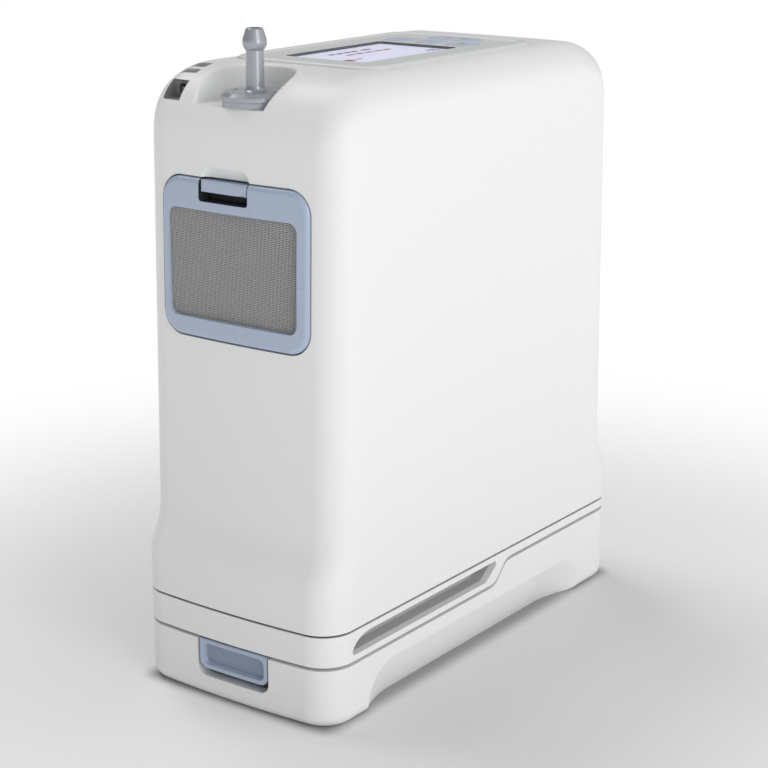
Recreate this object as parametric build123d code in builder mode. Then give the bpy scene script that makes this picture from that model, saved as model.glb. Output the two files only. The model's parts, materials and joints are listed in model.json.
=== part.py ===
"""Portable oxygen concentrator with its battery pack, as separate pieces.

Frame: origin at the bottom centre, +Z up, +X along the length. The front end faces -X: it has the
particle filter, the cannula nozzle and the battery latch. Millimetres.
"""
import math
import os

from build123d import *

os.makedirs("parts", exist_ok=True)

# Overall size
length = 150.0
width = 68.0
top_z = 172.0
half_length = length / 2
half_width = width / 2
corner_r = 9.4
end_bow = 1.7
wall = 2.2

# End shape of the upper housing: a foot, a flare in to the waist, then a slight lean
flare_low = 37.0
flare_high = 51.5
flare_depth = 4.4
flare_handle = 7.0
lean = 0.0205
shoulder_z = top_z - 18.0
corner_run = 22.0

# Horizontal splits
seam_z = 26.5
seam_gap = 0.65
pack_front_z = 17.0
pack_rear_z = 23.1
groove = 1.0
step_start_x = 3.0
step_run = 10.5
slide_gap = 0.3

# Screws and fits
screw_r = 1.1
screw_head_r = 2.2
screw_head_h = 1.4
boss_r = 3.2
fit_gap = 0.15
running_gap = 0.05
spigot_r = 2.0
spigot_h = 5.0

bow_radius = (half_width**2 + end_bow**2) / (2 * end_bow)
reach = 2 * length


def plan_face(inset, height):
    """Plan outline of the body moved in by inset: straight long sides and bowed ends."""
    centre = half_length - bow_radius
    with BuildSketch(Plane.XY.offset(height)) as plan:
        with Locations((centre, 0)):
            Circle(bow_radius - inset)
        with Locations((-centre, 0)):
            Circle(bow_radius - inset, mode=Mode.INTERSECT)
        Rectangle(2 * length, width - 2 * inset, mode=Mode.INTERSECT)
        fillet(plan.vertices(), corner_r - inset)
    return plan.sketch


def prism(inset, low, high):
    """Upright block with the body's plan outline."""
    with BuildPart() as block:
        extrude(to_extrude=plan_face(inset, low), amount=high - low)
    return block.part


def body_shape(inset, low, high):
    """Upper body moved in by inset, from low to high, with flared feet and soft top edges."""
    foot = half_length - inset
    waist = foot - flare_depth
    shoulder_x = waist - lean * (shoulder_z - flare_high)
    corner_x = waist - lean * (high - flare_high)
    centre = half_length - bow_radius
    with BuildPart() as body:
        with BuildSketch(Plane.XZ):
            with BuildLine():
                Polyline((centre, high), (centre, low), (foot, low), (foot, flare_low))
                Bezier(
                    (foot, flare_low),
                    (foot, flare_low + flare_handle),
                    (waist + lean * flare_handle, flare_high - flare_handle),
                    (waist, flare_high),
                )
                Line((waist, flare_high), (shoulder_x, shoulder_z))
                Bezier((shoulder_x, shoulder_z), (corner_x, high), (corner_x - corner_run, high))
                Line((corner_x - corner_run, high), (centre, high))
            make_face()
        revolve(axis=Axis((centre, 0, 0), (0, 0, 1)))
        mirror(about=Plane.YZ, mode=Mode.INTERSECT)
        with BuildSketch(Plane.XY.offset(low)):
            Rectangle(2 * length, width - 2 * inset)
        extrude(amount=high - low, mode=Mode.INTERSECT)
        sides = body.faces().sort_by(Axis.Y)
        rims = sides[0].edges() + sides[-1].edges()
        fillet(rims.filter_by(lambda edge: edge.center().Z > low + 0.01), corner_r - inset)
    return body.part


def above_step(shift, high):
    """Everything above the stepped line between housing and battery pack, moved up by shift."""
    front_z = pack_front_z + shift
    rear_z = pack_rear_z + shift
    step_end_x = step_start_x + step_run
    middle = step_run * 0.45
    with BuildPart() as region:
        with BuildSketch(Plane.XZ):
            with BuildLine():
                Polyline((reach, rear_z), (reach, high), (-reach, high), (-reach, front_z))
                Line((-reach, front_z), (step_start_x, front_z))
                Bezier(
                    (step_start_x, front_z),
                    (step_start_x + middle, front_z),
                    (step_end_x - middle, rear_z),
                    (step_end_x, rear_z),
                )
                Line((step_end_x, rear_z), (reach, rear_z))
            make_face()
        extrude(amount=width, both=True)
    return region.part


def end_x(height):
    """Distance of the upper body's end from the middle at its centre line, above the flare."""
    return half_length - flare_depth - lean * (height - flare_high)


# ---------------------------------------------------------------- particle filters
filter_y = 0.7
filter_z = top_z - 49.1
filter_width = 49.6
filter_height = 42.8
filter_r = 6.5
filter_gap = 0.35
filter_proud = 0.9
mesh_y = 1.1
mesh_width = 43.3
mesh_height = 29.2
mesh_z = top_z - 50.6
mesh_r = 2.6
pocket_x = 11.6 - half_length
pocket_wall = 1.8
mesh_thickness = 0.6
foam_thickness = 2.0
tab_y = 3.5
tab_width = 15.6
tab_low = filter_z + filter_height / 2 - 3.4
tab_gap = 0.55
thumb_r = 4.0
thumb_depth = 1.7
thumb_width = 18.0
thumb_end_r = 3.8
filter_top = filter_z + filter_height / 2


def filter_outline(grow, x):
    """Rounded outline of the filter frame on a plane across X, grown by grow."""
    with BuildSketch(Plane.YZ.offset(x)) as outline:
        with Locations((filter_y, filter_z)):
            RectangleRounded(filter_width + 2 * grow, filter_height + 2 * grow, filter_r + grow)
    return outline.sketch


def mesh_outline(grow, x):
    """Rounded outline of the air opening on a plane across X, grown by grow."""
    with BuildSketch(Plane.YZ.offset(x)) as outline:
        with Locations((mesh_y, mesh_z)):
            RectangleRounded(mesh_width + 2 * grow, mesh_height + 2 * grow, mesh_r)
    return outline.sketch


def filter_block(grow, back_x):
    """Block of the filter outline from back_x out through the front end."""
    with BuildPart() as block:
        extrude(to_extrude=filter_outline(grow, back_x), amount=-reach)
    return block.part


# ---------------------------------------------------------------- nozzle well and ports
well_x = 16.0 - half_length
well_y = 3.9
well_r = 13.0
well_floor = top_z - 9.0
nozzle_x = 16.5 - half_length
nozzle_y = 1.0
well_edge_r = 0.8
skirt_r = 5.4
skirt_gap = 0.3
port_y = half_width - 9.6
dc_z = top_z - 6.2
dc_width = 6.4
dc_height = 4.8
dc_depth_x = 14.8 - half_length
usb_x = 18.0 - half_length
usb_length = 2.2
usb_width = 5.6
usb_floor = top_z - 3.1
alarm_x = 22.2 - half_length
alarm_length = 3.4
alarm_width = 5.4
alarm_floor = top_z - 2.0
port_wall = 1.2
port_r = 0.5
jack_r = 1.9
jack_gap = 0.15

# ---------------------------------------------------------------- control panel
panel_x = -2.0
panel_length = 80.0
panel_width = 49.0
panel_r = 7.0
panel_low = top_z - 1.4
panel_top = top_z + 0.8
panel_ledge = 3.0
panel_hole_r = 3.0
panel_rim = 2.5
panel_dish = 0.4
screen_x = -9.0
screen_length = 44.0
screen_width = 27.4
screen_r = 1.6
screen_top = panel_top - 0.5
screen_glass = 0.5
screen_gap = 0.1
key_row_x = 20.0
key_spread = 10.6
key_length = 7.6
key_width = 8.6
power_x = 30.6
power_length = 6.6
power_width = 17.0
key_r = 2.2
key_gap = 0.2
key_root = 1.0
key_edge_r = 0.3
key_stem_r = 1.5
key_proud = 0.25
key_stem_low = top_z - 7.1

front_screws = [(5.8 - half_length, side * (half_width - 14.0)) for side in (-1, 1)]
rear_screws = [(half_length - 19.0, side * (half_width - 5.2)) for side in (-1, 1)]
screw_spots = front_screws + rear_screws
screw_rows = (
    (front_screws, pack_front_z + groove),
    (rear_screws, pack_rear_z + groove),
)
boss_top = 38.0


def on_well_wall(edge):
    """True for the edges where the well's round wall meets the outside of the housing."""
    steps = [edge @ (k / 4) for k in range(5)]
    off = [abs(math.hypot(p.X - well_x, p.Y - well_y) - well_r) for p in steps]
    return max(off) < 0.01 and edge.center().Z > well_floor + 0.5


# ================================================================ upper housing
housing_low = seam_z + seam_gap
outer_body = body_shape(0, housing_low, top_z)

with BuildPart() as thumb_room:
    with Locations((thumb_depth - thumb_r - end_x(filter_top), tab_y, filter_top)):
        Cylinder(thumb_r, thumb_width, rotation=(90, 0, 0))
    fillet(thumb_room.edges().filter_by(GeomType.CIRCLE), thumb_end_r)

pocket_shell = filter_block(filter_gap + pocket_wall, pocket_x + pocket_wall)
with BuildPart() as filter_pocket:
    add(filter_block(filter_gap, pocket_x))
    extrude(to_extrude=mesh_outline(0, pocket_x), amount=pocket_wall * 1.5)
    add(thumb_room.part)

with BuildPart() as cavity:
    add(body_shape(wall, housing_low, top_z - wall))
    for turn in (0, 180):
        add(pocket_shell.rotate(Axis.Z, turn), mode=Mode.SUBTRACT)
    with BuildSketch(Plane.XY.offset(well_floor - wall)):
        with Locations((well_x, well_y)):
            Circle(well_r + wall)
    extrude(amount=reach, mode=Mode.SUBTRACT)
    with BuildSketch(Plane.YZ.offset(dc_depth_x + port_wall)):
        with Locations((port_y, dc_z)):
            Rectangle(dc_width + 2 * port_wall, dc_height + 2 * port_wall)
    extrude(amount=-reach, mode=Mode.SUBTRACT)
    with BuildSketch(Plane.XY.offset(usb_floor - port_wall)):
        with Locations((usb_x, port_y)):
            Rectangle(usb_length + 2 * port_wall, usb_width + 2 * port_wall)
    extrude(amount=reach, mode=Mode.SUBTRACT)
    with BuildSketch(Plane.XY.offset(alarm_floor - port_wall)):
        with Locations((alarm_x, port_y)):
            Rectangle(alarm_length + 2 * port_wall, alarm_width + 2 * port_wall)
    extrude(amount=reach, mode=Mode.SUBTRACT)
    with BuildSketch(Plane.XY.offset(panel_low - wall)):
        with Locations((panel_x, 0)):
            RectangleRounded(panel_length, panel_width, panel_r)
    extrude(amount=reach, mode=Mode.SUBTRACT)

with BuildPart() as upper_housing:
    add(outer_body)
    add(cavity.part, mode=Mode.SUBTRACT)
    # screw bosses that meet those of the base tray
    with BuildSketch(Plane.XY.offset(housing_low)):
        with Locations(screw_spots):
            Circle(boss_r)
            Circle(screw_r, mode=Mode.SUBTRACT)
    extrude(amount=boss_top - housing_low)
    # filter pockets and their air windows at both ends
    for turn in (0, 180):
        add(filter_pocket.part.rotate(Axis.Z, turn), mode=Mode.SUBTRACT)
    # round well for the nozzle, open at the front through the soft top edge
    with BuildSketch(Plane.XY.offset(well_floor)):
        with Locations((well_x, well_y)):
            Circle(well_r)
    extrude(amount=reach, mode=Mode.SUBTRACT)
    fillet(upper_housing.edges().filter_by(on_well_wall), well_edge_r)
    with BuildSketch(Plane.XY.offset(well_floor - wall)):
        with Locations((nozzle_x, nozzle_y)):
            Circle(skirt_r + skirt_gap)
    extrude(amount=wall, mode=Mode.SUBTRACT)
    # three ports in a row beside the well
    with BuildSketch(Plane.YZ.offset(dc_depth_x)):
        with Locations((port_y, dc_z)):
            RectangleRounded(dc_width, dc_height, port_r)
    extrude(amount=-reach, mode=Mode.SUBTRACT)
    with BuildSketch(Plane.YZ.offset(dc_depth_x)):
        with Locations((port_y, dc_z)):
            Circle(jack_r + jack_gap)
    extrude(amount=2 * port_wall, mode=Mode.SUBTRACT)
    with BuildSketch(Plane.XY.offset(usb_floor)):
        with Locations((usb_x, port_y)):
            RectangleRounded(usb_length, usb_width, port_r)
    extrude(amount=reach, mode=Mode.SUBTRACT)
    with BuildSketch(Plane.XY.offset(alarm_floor)):
        with Locations((alarm_x, port_y)):
            RectangleRounded(alarm_length, alarm_width, port_r)
    extrude(amount=reach, mode=Mode.SUBTRACT)
    # seat and opening of the control panel
    with BuildSketch(Plane.XY.offset(panel_low)):
        with Locations((panel_x, 0)):
            RectangleRounded(panel_length + 2 * fit_gap, panel_width + 2 * fit_gap, panel_r + fit_gap)
    extrude(amount=reach, mode=Mode.SUBTRACT)
    with BuildSketch(Plane.XY.offset(panel_low - 2 * wall)):
        with Locations((panel_x, 0)):
            RectangleRounded(panel_length - 2 * panel_ledge, panel_width - 2 * panel_ledge, panel_hole_r)
    extrude(amount=3 * wall, mode=Mode.SUBTRACT)
upper_housing.part.label = "upper_housing"
export_step(upper_housing.part, "parts/upper_housing.step")

# ================================================================ seam gasket
gasket_inset = 0.6
with BuildPart() as seam_gasket:
    add(prism(gasket_inset, seam_z, housing_low))
    add(prism(wall, seam_z, housing_low), mode=Mode.SUBTRACT)
    with Locations([(x, y, seam_z) for x, y in screw_spots]):
        Cylinder(boss_r + fit_gap, 4 * seam_gap, mode=Mode.SUBTRACT)
seam_gasket.part.label = "seam_gasket"
export_step(seam_gasket.part, "parts/seam_gasket.step")

# ================================================================ base tray with exhaust slots
tray_floor = 1.8
slot_low = 19.7
slot_high = 24.9
slot_front_x = 10.5 - half_length
slot_curve = 8.5
slot_rear_x = 0.4
slot_slant = 7.6
slot_bulge = 0.45
slot_r = 1.0
contact_width = 18.0
contact_z = 20.3
contact_height = 2.4
window_gap = 0.5
duct_wall = 0.9
duct_depth = 3.6
vent_pitch = 5.6
vent_count = 10
vent_length = 3.4
vent_height = 2.4
rail_y = half_width - 15.0
rail_length = 44.0
rail_x = 38.0
rail_stem = 2.6
rail_head = 5.2
rail_head_h = 1.3
rail_drop = 4.0
rail_gap = 0.35
rail_low = pack_rear_z + groove - rail_drop
channel_wall = 1.2
channel_lead = 4.0
channel_spare = 1.0


def slot_outline(grow, depth):
    """Exhaust slot outline on a plane across Y: curved at the front end, slanted at the rear."""
    low = slot_low - grow
    high = slot_high + grow
    front = slot_front_x - 2 * grow
    rear = slot_rear_x + grow
    with BuildSketch(Plane.XZ.offset(depth)) as outline:
        with BuildLine():
            Polyline((front, low), (rear, low), (rear + slot_slant, high), (front + slot_curve, high))
            Bezier(
                (front + slot_curve, high),
                (front + slot_curve * slot_bulge, high),
                (front, high - slot_bulge * (high - low)),
                (front, low),
            )
        make_face()
        corners = outline.vertices().sort_by(Axis.X)
        fillet([corners[0], *corners[-2:]], slot_r + grow)
    return outline.sketch


with BuildPart() as tray_room:
    add(prism(wall, pack_front_z, seam_z + 1))
    add(above_step(groove + tray_floor, seam_z + 1), mode=Mode.INTERSECT)

with BuildPart() as base_tray:
    add(prism(0, pack_front_z, seam_z))
    add(above_step(groove, seam_z), mode=Mode.INTERSECT)
    add(tray_room.part, mode=Mode.SUBTRACT)
    with BuildSketch(Plane.XY.offset(pack_rear_z + groove)):
        with Locations(rear_screws):
            Circle(boss_r)
    extrude(amount=housing_low - pack_rear_z - groove)
    with BuildSketch(Plane.XY.offset(pack_front_z + groove)):
        with Locations(front_screws):
            Circle(boss_r)
    extrude(amount=housing_low - pack_front_z - groove)
    for side in (-1, 1):
        extrude(to_extrude=slot_outline(0, side * half_width), amount=-side * 2 * wall, mode=Mode.SUBTRACT)
        duct_y = side * (half_width - wall)
        duct_room = -side * (duct_depth + duct_wall)
        extrude(to_extrude=slot_outline(duct_wall, duct_y), amount=duct_room, mode=Mode.SUBTRACT)
        with Locations((rail_x, side * rail_y, rail_low + rail_head_h / 2)):
            Box(rail_length, rail_head, rail_head_h)
        with Locations((rail_x, side * rail_y, (rail_low + pack_rear_z + groove + tray_floor) / 2)):
            Box(rail_length, rail_stem, pack_rear_z + groove + tray_floor - rail_low)
    # screw holes with sunk heads
    for spots, under in screw_rows:
        with BuildSketch(Plane.XY.offset(under)):
            with Locations(spots):
                Circle(screw_head_r + fit_gap)
        extrude(amount=screw_head_h + fit_gap, mode=Mode.SUBTRACT)
        with BuildSketch(Plane.XY.offset(under)):
            with Locations(spots):
                Circle(screw_r + fit_gap)
        extrude(amount=reach, mode=Mode.SUBTRACT)
    # window for the battery contacts in the step
    with Locations((step_start_x + step_run / 2, 0, contact_z + contact_height / 2)):
        Box(2 * step_run, contact_width + 2 * window_gap, contact_height + 2 * window_gap, mode=Mode.SUBTRACT)
base_tray.part.label = "base_tray"
export_step(base_tray.part, "parts/base_tray.step")

# ================================================================ exhaust ducts behind the slots
with BuildPart() as exhaust_ducts:
    for side in (-1, 1):
        face_y = side * (half_width - wall)
        back_y = side * (half_width - wall - duct_depth)
        extrude(to_extrude=slot_outline(duct_wall, face_y), amount=-side * (duct_depth + duct_wall))
        extrude(to_extrude=slot_outline(0, face_y), amount=-side * duct_depth, mode=Mode.SUBTRACT)
        with Locations((slot_front_x / 2, back_y, (slot_low + slot_high) / 2)):
            with GridLocations(vent_pitch, 1, vent_count, 1):
                Box(vent_length, 4 * duct_wall, vent_height, mode=Mode.SUBTRACT)
exhaust_ducts.part.label = "exhaust_ducts"
export_step(exhaust_ducts.part, "parts/exhaust_ducts.step")

# ================================================================ battery pack
case_wall = 2.0
case_edge_r = 3.6
cover_inset = 1.2
cover_thickness = 1.6
cover_rise = groove - slide_gap
scoop_in = 6.5
scoop_top = 14.0
scoop_front_x = 17.0 - half_length
scoop_rear_x = half_length - 20.0
scoop_r = 12.0
scoop_narrow = 7.0
scoop_over = 0.5
scoop_block = 40.0
latch_y = -0.7
latch_width = 24.0
latch_low = 8.6
latch_gap = 0.6
latch_r = 2.6
latch_wall = 1.6
latch_room_r = 3.0
latch_room_low = 6.5
latch_room_x = 7.2 - half_length
latch_spring_x = 4.8 - half_length
latch_spring_y = 7.0
spring_room_x = 5.2 - half_length
spring_room_length = 4.0
spring_room_h = 6.0
latch_spring_low = 3.2
latch_top = pack_front_z + 0.3
latch_back_x = 6.6 - half_length
latch_rim = 1.3
latch_dish = 1.8
latch_dish_r = 1.8
latch_soft_r = 0.9
latch_edge_r = 0.35
cell_length = 32.5
cell_width = 25.4
cell_height = 10.0
cell_pitch_x = 33.4
cell_pitch_y = 26.0
cell_shift = 2.9
cell_r = 1.5
cell_gap = 0.3


def scoop(side, inset):
    """Slanted finger scoop cut into a long side; inset moves its face into the pack."""
    middle = (scoop_front_x + scoop_rear_x) / 2
    span = scoop_rear_x - scoop_front_x
    drop = scoop_top / (1 - scoop_over / scoop_in)
    with BuildPart() as cut:
        for out, shrink, fall in ((scoop_over, 0, 0), (-scoop_in, scoop_narrow, drop)):
            with BuildSketch(Plane.XZ.offset(-side * (half_width + out - inset))):
                with Locations((middle, scoop_top - fall - scoop_block / 2)):
                    RectangleRounded(span - 2 * shrink, scoop_block, scoop_r)
        loft()
    return cut.part


with BuildPart() as case_room:
    add(prism(case_wall, case_wall, reach))
    for side in (-1, 1):
        add(scoop(side, case_wall * 1.1), mode=Mode.SUBTRACT)
    with Locations((-half_length, latch_y, 0)):
        chamber = 2 * (half_length + latch_room_x + latch_wall)
        Box(chamber, latch_width + 2 * latch_gap + 2 * case_wall, 2 * reach, mode=Mode.SUBTRACT)

with BuildPart() as cover_rebate:
    add(prism(cover_inset, 0, reach))
    add(above_step(-cover_thickness, reach), mode=Mode.INTERSECT)

with BuildPart() as battery_case:
    add(prism(0, 0, pack_rear_z + 1))
    fillet(battery_case.faces().sort_by(Axis.Z)[0].edges(), case_edge_r)
    for side in (-1, 1):
        add(scoop(side, 0), mode=Mode.SUBTRACT)
    add(above_step(0, reach), mode=Mode.SUBTRACT)
    add(case_room.part, mode=Mode.SUBTRACT)
    add(cover_rebate.part, mode=Mode.SUBTRACT)
    # latch opening in the front wall, with a deeper room for its springs behind
    with BuildSketch(Plane.YZ.offset(latch_room_x)):
        with Locations((latch_y, latch_room_low + pack_front_z / 2)):
            RectangleRounded(latch_width + 2 * latch_gap, pack_front_z, latch_room_r)
    extrude(amount=-reach, mode=Mode.SUBTRACT)
    with BuildSketch(Plane.XY.offset(latch_spring_low)):
        with Locations((spring_room_x, latch_y)):
            Rectangle(spring_room_length, latch_width)
    extrude(amount=spring_room_h, mode=Mode.SUBTRACT)
battery_case.part.label = "battery_case"
export_step(battery_case.part, "parts/battery_case.step")

with BuildPart() as battery_cover:
    add(cover_rebate.part)
    add(above_step(cover_rise, 2 * reach), mode=Mode.SUBTRACT)
    # clear of the latch at the front
    with Locations((-half_length, latch_y, pack_front_z)):
        notch = 2 * (half_length + latch_room_x + latch_wall)
        Box(notch, latch_width + 2 * latch_gap, 4 * cover_thickness, mode=Mode.SUBTRACT)
    # rail channels, open at the step and closed at the rear wall
    channel_low = rail_low - rail_gap
    channel_mid = channel_low + rail_head_h + 2 * rail_gap
    channel_start = step_start_x - channel_lead
    channel_end = rail_x + rail_length / 2 + channel_spare
    for side in (-1, 1):
        with Locations(((channel_start + channel_end) / 2, side * rail_y, 0)):
            with Locations((0, 0, (channel_low + pack_rear_z + cover_rise) / 2)):
                Box(
                    channel_end - channel_start + 2 * channel_wall,
                    rail_head + 2 * rail_gap + 2 * channel_wall,
                    pack_rear_z + cover_rise - channel_low + 2 * channel_wall,
                )
    add(above_step(cover_rise, 2 * reach), mode=Mode.SUBTRACT)
    for side in (-1, 1):
        with Locations(((channel_start + channel_end) / 2, side * rail_y, (channel_low + channel_mid) / 2)):
            Box(
                channel_end - channel_start,
                rail_head + 2 * rail_gap,
                channel_mid - channel_low,
                mode=Mode.SUBTRACT,
            )
        with Locations(((channel_start + channel_end) / 2, side * rail_y, pack_rear_z)):
            Box(
                channel_end - channel_start,
                rail_stem + 2 * rail_gap,
                2 * (pack_rear_z - channel_mid) + 1,
                mode=Mode.SUBTRACT,
            )
    # window for the contacts
    with Locations((step_start_x + step_run / 2, 0, contact_z + contact_height / 2)):
        Box(2 * step_run, contact_width + 2 * window_gap, contact_height + 2 * window_gap, mode=Mode.SUBTRACT)
battery_cover.part.label = "battery_cover"
export_step(battery_cover.part, "parts/battery_cover.step")

with BuildPart() as battery_cells:
    with Locations((cell_shift, 0, case_wall + cell_gap + cell_height / 2)):
        with GridLocations(cell_pitch_x, cell_pitch_y, 4, 2):
            Box(cell_length, cell_width, cell_height)
    fillet(battery_cells.edges().filter_by(Axis.X), cell_r)
battery_cells.part.label = "battery_cells"
export_step(battery_cells.part, "parts/battery_cells.step")

board_thickness = 1.2
pack_board_x = -28.0
pack_board_length = 56.0
pack_board_width = 40.0
pack_board_low = case_wall + cell_gap + cell_height + 1.0
pack_board_top = pack_board_low + board_thickness
gauge_spot = (-40.0, 8.0)
gauge_side = 9.0
gauge_h = 0.7
fuse_x = -20.0
fuse_size = (3.2, 2.4, 0.6)
with BuildPart() as battery_board:
    with Locations((pack_board_x, 0, pack_board_low + board_thickness / 2)):
        Box(pack_board_length, pack_board_width, board_thickness)
    with Locations((*gauge_spot, pack_board_top + gauge_h / 2)):
        Box(gauge_side, gauge_side, gauge_h)
    with Locations((fuse_x, 0, pack_board_top + fuse_size[2] / 2)):
        with GridLocations(7.0, 9.0, 4, 3):
            Box(*fuse_size)
battery_board.part.label = "battery_board"
export_step(battery_board.part, "parts/battery_board.step")

# ================================================================ battery contacts
blade_pitch = 3.5
blade_count = 5
blade_thickness = 0.8
blade_end_x = 15.4
socket_front_x = 9.6
socket_rear_x = 18.4
socket_gap = 0.3
holder_x = -2.5
holder_length = 8.0
holder_height = 3.6
blade_start_x = 1.0
blade_height = 2.0
socket_low = contact_z - 0.4
socket_high = contact_z + contact_height + 0.4
with BuildPart() as battery_contacts:
    with Locations((holder_x, 0, pack_front_z + groove + tray_floor + holder_height / 2)):
        Box(holder_length, contact_width - 2 * window_gap, holder_height)
    with Locations(((blade_end_x + blade_start_x) / 2, 0, contact_z + contact_height / 2)):
        with GridLocations(1, blade_pitch, 1, blade_count):
            Box(blade_end_x - blade_start_x, blade_thickness, blade_height)
battery_contacts.part.label = "battery_contacts"
export_step(battery_contacts.part, "parts/battery_contacts.step")

with BuildPart() as battery_socket:
    with Locations(((socket_front_x + socket_rear_x) / 2, 0, (socket_low + socket_high) / 2)):
        Box(socket_rear_x - socket_front_x, contact_width, socket_high - socket_low)
    with Locations((socket_front_x, 0, contact_z + contact_height / 2)):
        with GridLocations(1, blade_pitch, 1, blade_count):
            Box(
                2 * (blade_end_x + 2 * window_gap - socket_front_x),
                blade_thickness + 2 * socket_gap,
                blade_height + 2 * socket_gap,
                mode=Mode.SUBTRACT,
            )
battery_socket.part.label = "battery_socket"
export_step(battery_socket.part, "parts/battery_socket.step")

# ================================================================ battery latch
with BuildPart() as battery_latch:
    add(prism(fit_gap, 0, latch_top))
    with BuildSketch(Plane.YZ.offset(latch_back_x)):
        with Locations((latch_y, latch_low + latch_top / 2)):
            RectangleRounded(latch_width, latch_top, latch_r)
    extrude(amount=-reach, mode=Mode.INTERSECT)
    with BuildSketch(Plane.YZ.offset(-half_length + latch_dish)):
        with Locations((latch_y, (latch_low + latch_top) / 2)):
            RectangleRounded(latch_width - 2 * latch_rim, latch_top - latch_low - 2 * latch_rim, latch_dish_r)
    extrude(amount=-reach, mode=Mode.SUBTRACT)
    dish_floor = battery_latch.faces().filter_by(Axis.X).sort_by(Axis.X)[0]
    fillet(dish_floor.edges(), latch_soft_r)
    front_rim = battery_latch.faces().sort_by(Axis.X)[0]
    fillet(front_rim.edges(), latch_edge_r)
battery_latch.part.label = "battery_latch"
export_step(battery_latch.part, "parts/battery_latch.step")

latch_wire_r = 0.25
latch_coil_r = 1.15
latch_coil_pitch = 1.1
latch_coil_h = latch_low - latch_spring_low - 2 * latch_wire_r - running_gap
with BuildPart() as latch_springs:
    for side in (-1, 1):
        start = (latch_spring_x, latch_y + side * latch_spring_y, latch_spring_low + latch_wire_r)
        with BuildLine(Plane(start)):
            coil = Helix(latch_coil_pitch, latch_coil_h, latch_coil_r)
        with BuildSketch(Plane(origin=coil @ 0, z_dir=coil % 0)):
            Circle(latch_wire_r)
        sweep(path=coil)
latch_springs.part.label = "latch_springs"
export_step(latch_springs.part, "parts/latch_springs.step")

# ================================================================ particle filters, front and rear
frame_back_x = pocket_x - 0.3
lip_x = pocket_x - 5.2
foam_x = pocket_x - 4.5
frame_edge_r = 1.5
notch_low = tab_low - 2.5
notch_back_x = pocket_x - 1.8
mesh_ledge = 1.2
media_gap = 0.1
notch_r = 0.9
notch_block = 20.0
tab_sink = 0.2
tab_root = 0.3
tab_edge_r = 0.5
with BuildPart() as frame_shape:
    extrude(to_extrude=filter_outline(0, frame_back_x), amount=-reach)
    add(body_shape(-filter_proud, housing_low, top_z + filter_proud), mode=Mode.INTERSECT)
    front_face = frame_shape.faces().sort_by(Axis.X)[0]
    fillet(front_face.edges(), frame_edge_r)
    # notch for the latch tab
    with BuildSketch(Plane.YZ.offset(notch_back_x)):
        with Locations((tab_y, notch_low + notch_block / 2)):
            RectangleRounded(tab_width + 2 * tab_gap, notch_block, notch_r)
    extrude(amount=-reach, mode=Mode.SUBTRACT)
    # opening, with a ledge behind the lip for mesh and foam
    extrude(to_extrude=mesh_outline(0, frame_back_x), amount=-reach, mode=Mode.SUBTRACT)
    ledge = mesh_outline(mesh_ledge, frame_back_x)
    extrude(to_extrude=ledge, amount=lip_x - frame_back_x, mode=Mode.SUBTRACT)

with BuildPart() as tab_shape:
    with BuildSketch(Plane.YZ.offset(notch_back_x - tab_root)):
        with Locations((tab_y, (tab_low + filter_top - tab_sink) / 2)):
            Rectangle(tab_width, filter_top - tab_sink - tab_low)
    extrude(amount=-reach)
    add(body_shape(tab_sink - filter_proud, housing_low, top_z + filter_proud), mode=Mode.INTERSECT)
    tab_face = tab_shape.faces().sort_by(Axis.X)[0]
    fillet(tab_face.edges(), tab_edge_r)

with BuildPart() as mesh_shape:
    extrude(to_extrude=mesh_outline(mesh_ledge - media_gap, lip_x), amount=mesh_thickness)

with BuildPart() as foam_shape:
    extrude(to_extrude=mesh_outline(mesh_ledge - media_gap, foam_x), amount=foam_thickness)

for end, turn in (("front", 0), ("rear", 180)):
    for shape, piece in (
        (frame_shape, "filter_frame"),
        (mesh_shape, "filter_mesh"),
        (foam_shape, "filter_foam"),
        (tab_shape, "filter_tab"),
    ):
        with BuildPart() as filter_piece:
            add(shape.part.rotate(Axis.Z, turn))
        filter_piece.part.label = f"{end}_{piece}"
        export_step(filter_piece.part, f"parts/{end}_{piece}.step")

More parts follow.
